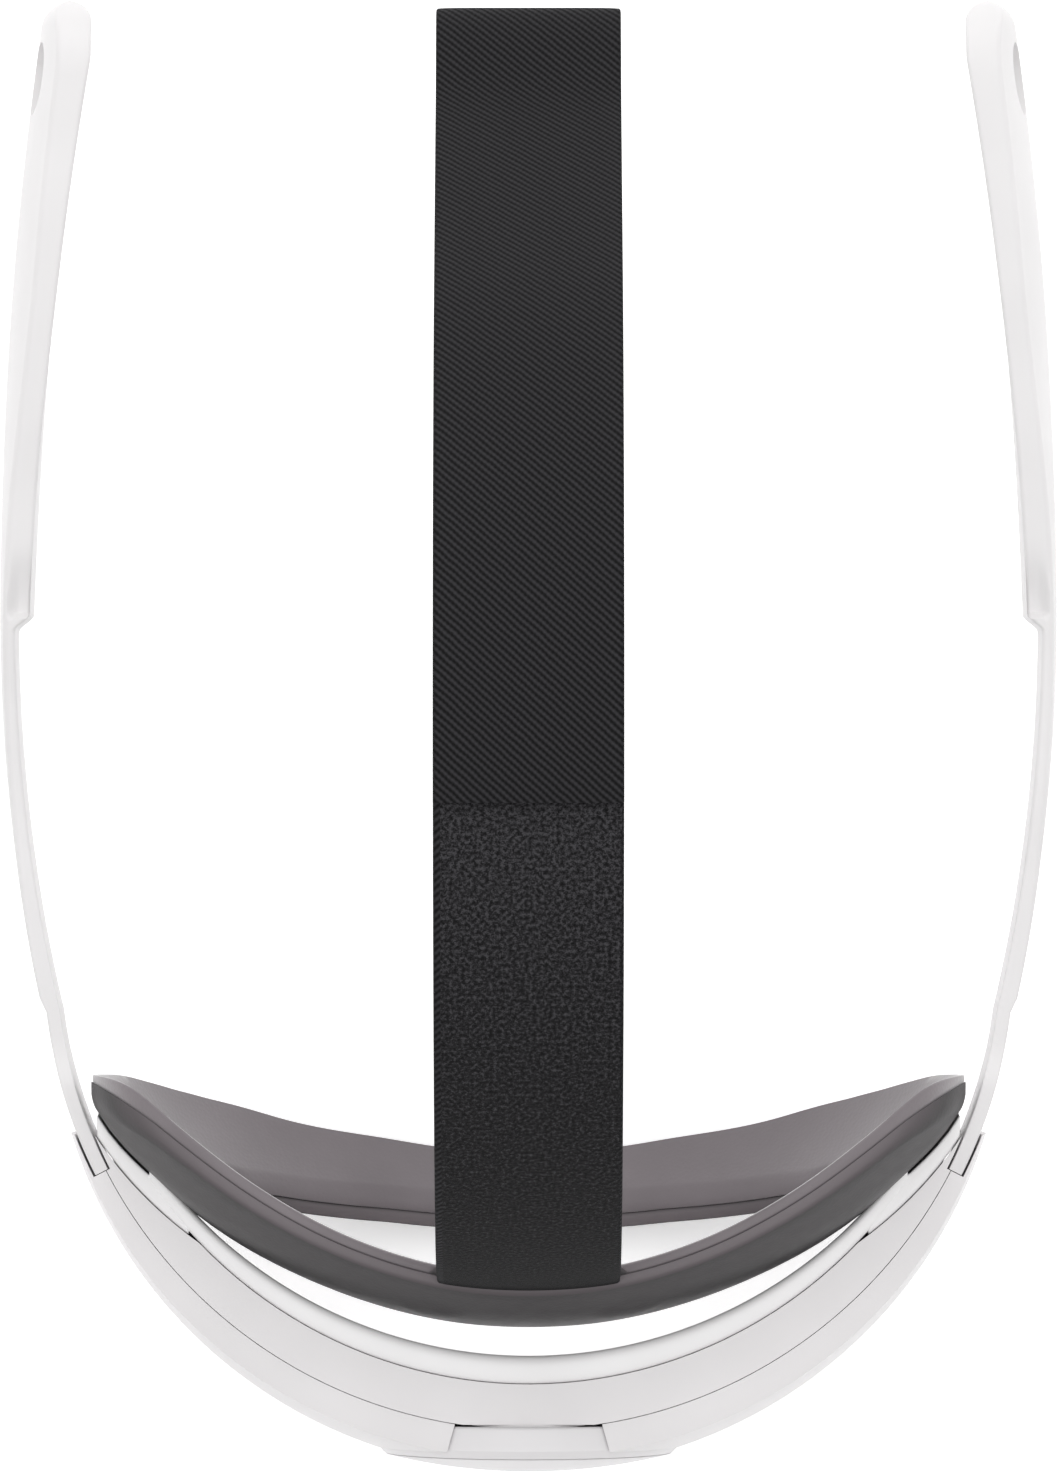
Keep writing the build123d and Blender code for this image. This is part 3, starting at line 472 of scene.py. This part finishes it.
def side_arm(side, name):
    """The tail, the thin band and the receiver as one moulding, mirrored for the right side."""
    rings = []
    angles = list(np.linspace(45, 28, 14)) + [27.21, 27.11, 26.7] + list(np.linspace(26, 7, 20))
    for angle in angles:
        t = radians(angle)
        rings.append(arm_ring((-TAIL_IN * cos(t), TRACK_Y - TAIL_IN * sin(t)),
                              (-TAIL_OUT * cos(t), TRACK_Y - TAIL_OUT * sin(t)),
                              tail_half(angle)))
    places = list(np.arange(-46.5, 15, 2.0)) + list(np.linspace(15, 23, 15))
    places += list(np.arange(24.5, 87, 2.0)) + [87.8, 88.6] + list(np.arange(90, 116, 2.0))
    places += list(116 + 10.2 * np.linspace(0, 1, 10)[1:])
    places += list(TIP_Y - 4.5 * np.linspace(0.97, 0.02, 13) ** 2)
    for y in places:
        inner, outer, half = inner_edge(y), outer_edge(y), arm_half(y)
        floor_x = TROUGH_X + TROUGH_RISE * (y - TROUGH_BACK) / TROUGH_RUN
        deepest = min(inner - floor_x, inner - outer - TROUGH_WALL)
        trough = max(0.0, deepest) if y > TROUGH_BACK else 0.0
        scoop = smooth(SCOOP_Y - y, 0, 10) * (1 - smooth(22.0 - y, 0, 1.3))
        hollow = SCOOP_DEEP * scoop if y < SCOOP_Y else 0.0
        blend = 1 - smooth(y, -47, -30)
        inner_y = y + 0.12 * (inner - outer) * blend
        soft, swell = 0.4 + 0.75 * smooth(y, -45, -10), smooth(y, 20, 85)
        belly = smooth(y, -45, 20)
        rings.append(arm_ring((inner, inner_y), (outer, y), half, trough, hollow, soft, swell,
                              belly))
    points = [(side * x, y, z) for ring in rings for x, y, z in ring]
    faces = loft_faces(len(rings), len(rings[0]))
    arm = mesh_object(name, points, faces, [looks["arm_plastic"]], sharp=40)
    cut_window(arm, side)
    return arm


def cut_window(arm, side):
    """Cuts the oval snap window right through the outer wall."""
    straight = WINDOW_LONG - WINDOW_TALL
    oval = []
    for way in (1, -1):
        for t in np.radians(np.linspace(-90, 90, 17)):
            reach = straight + WINDOW_TALL * cos(t)
            oval.append((WINDOW_Y + way * reach, MID + way * WINDOW_TALL * sin(t)))
    levels = (-96.0, -70.0)
    points = [(side * x, y, z) for x in levels for y, z in oval]
    cutter = mesh_object("cutter", points, loft_faces(2, len(oval)), [looks["arm_plastic"]])
    cut = arm.modifiers.new("window", "BOOLEAN")
    cut.object, cut.operation, cut.solver = cutter, "DIFFERENCE", "EXACT"
    bpy.context.view_layer.update()
    graph = bpy.context.evaluated_depsgraph_get()
    finished = bpy.data.meshes.new_from_object(arm.evaluated_get(graph))
    arm.modifiers.clear()
    arm.data = finished
    bpy.data.objects.remove(cutter)
    arm.data.shade_smooth()
    arm.data.set_sharp_from_angle(angle=radians(40))


for side, word in ((1, "left"), (-1, "right")):
    arm = side_arm(side, word + "_side_arm")
    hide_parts(word + "_tail", word + "_arm_band", word + "_receiver")
    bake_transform(arm)


# Cradle --------------------------------------------------------------------------------------
BARREL_Y, BARREL_Z, BARREL_TURN = -49.8, MID + 11.7, 11.3
DEEP, ACROSS, TIP_PLANE, TIP_SOFT = 66.9, 84.0, -59.9, 3.0
FRAME_THICK, PAD_OUTER, PAD_INNER = 1.8, 1.86, 3.7  # depths under the cradle's outer surface
SLOT_HALF, SLOT_LOW, SLOT_FRONT, SLOT_REAR = 16.25, 24.6, 2.95, 1.2  # room for the webbing
OUTLINE = [(0, 38.3), (30, 38.3), (50, 37.3), (62, 33.8), (71, 27), (76, 19), (77.4, 11.5),
           (75.5, 3.5), (71, -4), (60, -15.5), (46.5, -24), (25, -31.6), (0, -34)]
HOLE_LOW = [(50, -10.5), (43.3, -15.2), (32, -20.7), (20, -24.4), (0, -26.9)]
HOLE_LOW += [(-x, z) for x, z in reversed(HOLE_LOW[:-1])]


def set_forward(x):
    """How far the cradle sits ahead of its plain barrel, at a distance from the middle."""
    return 0.8 * (1 - smooth(x, 66, 77)) + 0.85 * smooth(x, 8, 46) * (1 - smooth(x, 64, 77))


def on_barrel(x, z, inset):
    """A point of the cradle, at a place seen from behind and a depth under its outer surface."""
    reach = DEEP - inset
    radius = reach * sqrt(max(0.0, 1 - (x / (ACROSS - inset)) ** 2)) - BARREL_TURN
    gap = radius * radius - (z - BARREL_Z) ** 2
    y = BARREL_Y - sqrt(gap) if radius > 0 and gap > 0 else BARREL_Y
    y += set_forward(abs(x))
    share = min(1.0, max(0.0, 0.5 + (TIP_PLANE - y) / (2 * TIP_SOFT)))
    return x, TIP_PLANE + (y - TIP_PLANE) * share - TIP_SOFT * share * (1 - share), z


def rounded_path(points, closed, count):
    """Evenly spaced points on a smooth curve through the given ones."""
    pts = np.array(points, float)
    n = len(pts)
    dense = []
    for i in range(n if closed else n - 1):
        near = [(i + j) % n if closed else min(max(i + j, 0), n - 1) for j in (-1, 0, 1, 2)]
        p = pts[near]
        for t in np.linspace(0, 1, 40, endpoint=False):
            square = (2 * p[0] - 5 * p[1] + 4 * p[2] - p[3]) * t * t
            cube = (3 * p[1] - p[0] - 3 * p[2] + p[3]) * t ** 3
            dense.append(0.5 * (2 * p[1] + (p[2] - p[0]) * t + square + cube))
    dense.append(pts[0] if closed else pts[-1])
    dense = np.array(dense)
    length = np.concatenate([[0], np.cumsum(np.hypot(*np.diff(dense, axis=0).T))])
    at = np.linspace(0, length[-1], count, endpoint=not closed)
    return np.stack([np.interp(at, length, dense[:, k]) for k in (0, 1)], axis=1)


def bow(p, q, r, count):
    """Points on the arc through three points."""
    x, y, radius = arc_through(p, q, r)
    first, last = np.arctan2(p[1] - y, p[0] - x), np.arctan2(r[1] - y, r[0] - x)
    middle = np.arctan2(q[1] - y, q[0] - x)
    if not min(first, last) <= middle <= max(first, last):
        last += 2 * pi if last < first else -2 * pi
    return [(x + radius * cos(t), y + radius * sin(t)) for t in np.linspace(first, last, count)]


outline = rounded_path(OUTLINE + [(-x, z) for x, z in reversed(OUTLINE[1:-1])], True, 300)
lower = [tuple(p) for p in rounded_path(HOLE_LOW, False, 60)]
hole = bow((-50, 1.5), (0, 14), (50, 1.5), 60)
hole += bow((50, 1.5), (54.5, -4.5), (50, -10.5), 9)[1:-1] + lower
hole += bow((-50, -10.5), (-54.5, -4.5), (-50, 1.5), 9)[1:-1]
CORE_Z = -3.5
BAR_END, BAR_LEVEL, BAR_COVER = 17.5, 26.0, 0.4  # the anchor bar's ends, just under the surface
hole_angle = np.array([np.arctan2(z - CORE_Z, x) for x, z in hole])
order = np.argsort(hole_angle)
hole_sorted, angle_sorted = np.array(hole)[order], hole_angle[order]
hole_wrap = np.concatenate([angle_sorted - 2 * pi, angle_sorted, angle_sorted + 2 * pi])


def hole_point(angle):
    """Where the open middle's edge is, at an angle about the cradle's core."""
    radii = np.tile(np.hypot(hole_sorted[:, 0], hole_sorted[:, 1] - CORE_Z), 3)
    reach = np.interp(angle, hole_wrap, radii)
    return np.array([reach * cos(angle), CORE_Z + reach * sin(angle)])


def cradle_ring(name, outer_inset, inner_inset, edge, round_out, round_in, crown, is_frame,
                material):
    """A ring-shaped plate on the barrel, with rounded edges and, for the pad, a crowned face."""
    points, per_ring = [], 0
    faces_round = ((1, outer_inset, inner_inset, round_out),
                   (-1, inner_inset, outer_inset, round_in))
    for x, z in outline:
        rim = np.array([x, z])
        hub = hole_point(np.arctan2(z - CORE_Z, x))
        width = float(np.hypot(*(rim - hub)))
        out_way = (rim - hub) / width
        low, high = edge, width - edge
        ring = []
        for way, inset, other, r in faces_round:
            sign = 1 if other > inset else -1
            span = np.linspace(low + r, high - r, 15)
            for s in (span if way > 0 else span[::-1]):
                mid_share = 4 * (s - low) * (high - s) / (high - low) ** 2
                lift = crown * mid_share ** 0.5 if way < 0 else 0.0
                ring.append((s, inset + lift))
            side = high if way > 0 else low
            for i in range(1, 5):
                t = pi / 2 * i / 5
                ring.append((side - way * r + way * r * sin(t), inset + sign * r * (1 - cos(t))))
            r2 = round_in if way > 0 else round_out
            for i in range(1, 6):
                t = pi / 2 * (1 - i / 5)
                if i < 5:
                    drop = r2 * (1 - cos(t))
                    ring.append((side - way * r2 + way * r2 * sin(t), other - sign * drop))
        per_ring = len(ring)
        for s, inset in ring:
            px, pz = hub + out_way * s
            if abs(px) < SLOT_HALF and pz > SLOT_LOW:
                inset = min(inset, SLOT_REAR) if is_frame else max(inset, SLOT_FRONT)
            if inset < 0.1:
                from_bar = hypot(abs(px) - BAR_END, pz - BAR_LEVEL)
                inset -= BAR_COVER * (1 - smooth(from_bar, 2, 7))
            points.append(on_barrel(px, MID + pz, inset))
    faces = loft_faces(len(outline), per_ring, closed=True)
    return mesh_object(name, points, faces, [material], sharp=50)


def barrel_block(x0, x1, z0, z1, e0, e1):
    """A closed patch of the barrel between two insets; low and top give its edges by x."""
    nx, nz = 9, 9
    points, faces = [], []
    for inset in (e0, e1):
        for i in range(nx):
            x = x0 + (x1 - x0) * i / (nx - 1)
            low, top = z0(abs(x)), z1(abs(x))
            for j in range(nz):
                points.append(on_barrel(x, MID + low + (top - low) * j / (nz - 1), inset))
    for i in range(nx - 1):
        for j in range(nz - 1):
            a, b = i * nz + j, (i + nx) * nz + j
            faces += [(a, a + 1, a + nz + 1, a + nz), (b, b + nz, b + nz + 1, b + 1)]
    rim = [i * nz for i in range(nx)] + [(nx - 1) * nz + j for j in range(1, nz)]
    rim += [i * nz + nz - 1 for i in range(nx - 2, -1, -1)] + [j for j in range(nz - 2, 0, -1)]
    for a, b in zip(rim, rim[1:] + rim[:1]):
        faces.append((a, b, b + nx * nz, a + nx * nz))
    return points, faces


def join_blocks(piece, blocks, material, width):
    """Adds the closed patches to a piece, with their edges rounded."""
    for points, faces in blocks:
        block = mesh_object("block", points, faces, [material], sharp=50)
        bevel = block.modifiers.new("edge", "BEVEL")
        bevel.width, bevel.segments, bevel.angle_limit = width * MM, 3, radians(50)
        bpy.context.view_layer.update()
        graph = bpy.context.evaluated_depsgraph_get()
        finished = bpy.data.meshes.new_from_object(block.evaluated_get(graph))
        whole = bmesh.new()
        whole.from_mesh(piece.data)
        whole.from_mesh(finished)
        whole.to_mesh(piece.data)
        whole.free()
        bpy.data.objects.remove(block)
    piece.data.shade_smooth()
    piece.data.set_sharp_from_angle(angle=radians(50))


cradle = cradle_ring("cradle_shell", 0.0, FRAME_THICK, 0.0, 0.8, 0.35, 0.0, True,
                     looks["dark_frame"])
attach(cradle, "rear_housing")
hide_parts("cradle_frame")
pad = cradle_ring("cradle_cushion", PAD_OUTER, PAD_INNER, 0.25, 0.3, 1.1, 0.4, False,
                  looks["cradle_rubber"])
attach(pad, "rear_housing")
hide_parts("cradle_pad")


# Liner ---------------------------------------------------------------------------------------
LINER_Y, LINER_R, CREASE_Y, CREASE_R = -26.9, 82.2, -33.3, 80.8
LINER_END, LINER_LEAN = 67.0, 0.062
# The wings: where they start and end across the head, their depths under the barrel's surface,
# their front end, and how far they reach from the track's centre above and beside the racks.
WING_X, WING_TIP_X, WING_NEAR, WING_FAR = 60, 76.4, -0.35, -2.45
WING_END, WING_REACH, RACK_REACH, RACK_ROOM = -61.6, 82.9, 81.6, TAIL_HALF + 1.5
SHALLOW = 0.4  # the rounding beside the shell is wider than it is deep


def liner_ring(x):
    """The liner's section at a place across the head, with its upper and lower edges rounded."""
    near = LINER_Y - sqrt(LINER_R ** 2 - x * x)
    far = CREASE_Y - sqrt(CREASE_R ** 2 - x * x)
    half, thick = housing_half(x), abs(far - near)
    r_head, r_crease = 0.42 * thick, 0.5 * thick
    outer_top = corner(thick - r_crease, half - r_crease, r_crease, 0, 9)
    outer_low = corner(thick - r_crease, r_crease - half, r_crease, 270, 9)
    section = [(a, half - SHALLOW * (half - z)) for a, z in outer_top]
    section += corner(r_head, half - r_head, r_head, 90, 9)
    section += [(0.0, z) for z in np.linspace(half - r_head, r_head - half, 9)[1:-1]]
    section += corner(r_head, r_head - half, r_head, 180, 9)
    section += [(a, SHALLOW * (z + half) - half) for a, z in outer_low]
    return [(x, near - a - LINER_LEAN * (half - z) * (1 - a / thick), MID + z) for a, z in section]


rings = [liner_ring(x) for x in LINER_END * np.sin(np.linspace(-pi / 2, pi / 2, 161))]
points = [p for ring in rings for p in ring]
faces = loft_faces(len(rings), len(rings[0]))
liner = mesh_object("liner_skin", points, faces, [looks["white_liner"]], sharp=50)
wings = []


def wing_low(x):
    """The wing's lower edge, below the shaft's height."""
    return 8 * smooth(x, 62, 76) - 11


def wing_top(x):
    """The wing's upper edge, just under the housing's top."""
    return housing_half(x) - 0.4


for way in (-1, 1):
    points, faces = barrel_block(WING_X * way, WING_TIP_X * way, wing_low, wing_top,
                                 WING_NEAR, WING_FAR)
    kept = []
    for i, (x, y, z) in enumerate(points):
        if i >= len(points) // 2:
            y -= set_forward(abs(x))
        reach = hypot(x, y - TRACK_Y)
        limit = WING_REACH if abs(z - MID) > RACK_ROOM else RACK_REACH
        keep = min(1.0, limit / reach)
        clear = on_barrel(x * keep, z, WING_NEAR)[1]
        kept.append((x * keep, min(TRACK_Y + (y - TRACK_Y) * keep, clear, WING_END), z))
    wings.append((kept, faces))
join_blocks(liner, wings, looks["white_liner"], 0.5)
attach(liner, "rear_housing")
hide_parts("inner_liner")


# Top strap -----------------------------------------------------------------------------------
CROWN_Y, CROWN_Z, CROWN_R = 5.0, 72.9, 100.7
FRONT_R, FRONT_TURN, FRONT_RUN = 95.0, 50.0, 63.5
THICK, RISE, LOOP_R, TAPER, FLAP_BACK, SLOT_DEPTH = 1.5, 2.3, 4.0, 18.0, 9.0, 2.05
front_z = CROWN_Z + CROWN_R - FRONT_R
turn = radians(FRONT_TURN)
ahead, lift = np.array((cos(turn), -sin(turn))), np.array((sin(turn), cos(turn)))


def bend(y, z, radius, first, last, step=1.5):
    """Points on an arc in the side plane, from one angle to another."""
    count = max(2, int(abs(radians(last - first)) * radius / step))
    turns = np.radians(np.linspace(first, last, count))
    return [(y + radius * cos(t), z + radius * sin(t)) for t in turns]


def strap_line():
    """The webbing's middle line seen from the side, from its sewn tail to its flap's end."""
    line = [on_barrel(0, z, SLOT_DEPTH)[1:] for z in np.linspace(MID + 25.5, MID + 38.0, 9)]
    line += bend(CROWN_Y, CROWN_Z, CROWN_R, 178.9, 90)
    line += bend(CROWN_Y, front_z, FRONT_R, 89, 90 - FRONT_TURN)
    start = np.array((CROWN_Y, front_z)) + lift * FRONT_R
    end = start + ahead * FRONT_RUN
    line += [tuple(start + ahead * s) for s in np.arange(1.5, FRONT_RUN, 1.5)]
    centre = end + lift * LOOP_R
    base = np.degrees(np.arctan2(-lift[1], -lift[0]))
    line += bend(centre[0], centre[1], LOOP_R, base, base + 180, 0.7)
    top, shut = end + lift * 2 * LOOP_R, end - ahead * TAPER + lift * RISE
    for t in np.linspace(0, 1, 14)[1:]:
        drop = t * t * (3 - 2 * t)
        way = (shut - top) @ ahead * ahead * t + (shut - top) @ lift * lift * drop
        line.append(tuple(top + way))
    upper = start + lift * RISE
    line += [tuple(shut + (upper - shut) * t) for t in np.linspace(0, 1, 32)[1:]]
    line += bend(CROWN_Y, front_z, FRONT_R + RISE, 90 - FRONT_TURN, 90)[1:]
    line += bend(CROWN_Y, CROWN_Z, CROWN_R + RISE, 90.5, 90 + FLAP_BACK)
    line = np.array(line)
    for _ in range(6):
        line[1:-1] = 0.25 * line[:-2] + 0.5 * line[1:-1] + 0.25 * line[2:]
    return line


line = strap_line()
run = np.concatenate([[0], np.cumsum(np.hypot(*np.diff(line, axis=0).T))])
heading = np.gradient(line, axis=0)
heading /= np.hypot(heading[:, 0], heading[:, 1])[:, None]
normal = np.stack([-heading[:, 1], heading[:, 0]], axis=1)  # towards the pile side
half_thick = THICK / 2
FLAP_RUN, RIPPLE = 170, 0.10  # the flat, doubled end, and the ripple's height elsewhere
across = [WEB_HALF * sin(pi / 2 * t) for t in np.linspace(-1, 1, 25)]
flat_part = [x for x in across if abs(x) < WEB_HALF - 0.6]
selvedge = [(WEB_HALF - 0.35, 0.62), (WEB_HALF - 0.08, 0.4), (WEB_HALF, 0.0)]
selvedge += [(x, -h) for x, h in reversed(selvedge[:-1])]
ring = [(x, half_thick * (1 - 0.18 * (x / WEB_HALF) ** 8)) for x in flat_part] + selvedge
ring += [(x, -half_thick * (1 - 0.18 * (x / WEB_HALF) ** 8)) for x in reversed(flat_part)]
ring += [(-x, -h) for x, h in selvedge]
points, uvs = [], []
for i, (y, z) in enumerate(line):
    cup = 1 - smooth(run[i], 14, 75)
    thin = 1 - 0.45 * smooth(run[i], run[-1] - 1.5, run[-1])
    for x, h in ring:
        curl = DEEP * (1 - sqrt(1 - (x / ACROSS) ** 2)) * cup
        wave = sin(run[i] / 9.0 + x / 7.0) * sin(run[i] / 23.0)
        ripple = RIPPLE * wave * smooth(run[i], 20, 60)
        rise = h * thin + (ripple if run[i] < run[-1] - FLAP_RUN else 0.0)
        points.append((x, y + normal[i][0] * rise + curl, z + normal[i][1] * rise))
        uvs.append((x, run[i]))
faces = loft_faces(len(line), len(ring))
strap = mesh_object("strap_webbing", points, faces, [looks["webbing"], pile_look], sharp=60)
layer = strap.data.uv_layers.new(name="web")
for loop in strap.data.loops:
    layer.data[loop.index].uv = uvs[loop.vertex_index]
pile_count = len(flat_part)
for polygon in strap.data.polygons:
    places = [v % len(ring) for v in polygon.vertices]
    if len(polygon.vertices) == 4 and max(places) < pile_count + 1:
        polygon.material_index = 1
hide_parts("strap_band", "strap_tail")
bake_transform(strap)


# Floor ---------------------------------------------------------------------------------------
backdrop = Nodes("floor_white")
backdrop.set(Base_Color=(1, 1, 1, 1), Roughness=0.9)
backdrop.shader.inputs["Specular IOR Level"].default_value = 0.0
backdrop.shader.inputs["Emission Color"].default_value = (1, 1, 1, 1)
backdrop.shader.inputs["Emission Strength"].default_value = 0.32
floor_mesh = bpy.data.meshes.new("floor")
FLOOR, FLOOR_Z = 6.0, -0.0005
floor_corners = ((-FLOOR, -FLOOR), (FLOOR, -FLOOR), (FLOOR, FLOOR), (-FLOOR, FLOOR))
floor_mesh.from_pydata([(x, y, FLOOR_Z) for x, y in floor_corners], [], [(0, 1, 2, 3)])
floor_mesh.materials.append(backdrop.material)
floor = bpy.data.objects.new("floor", floor_mesh)
bpy.context.scene.collection.objects.link(floor)
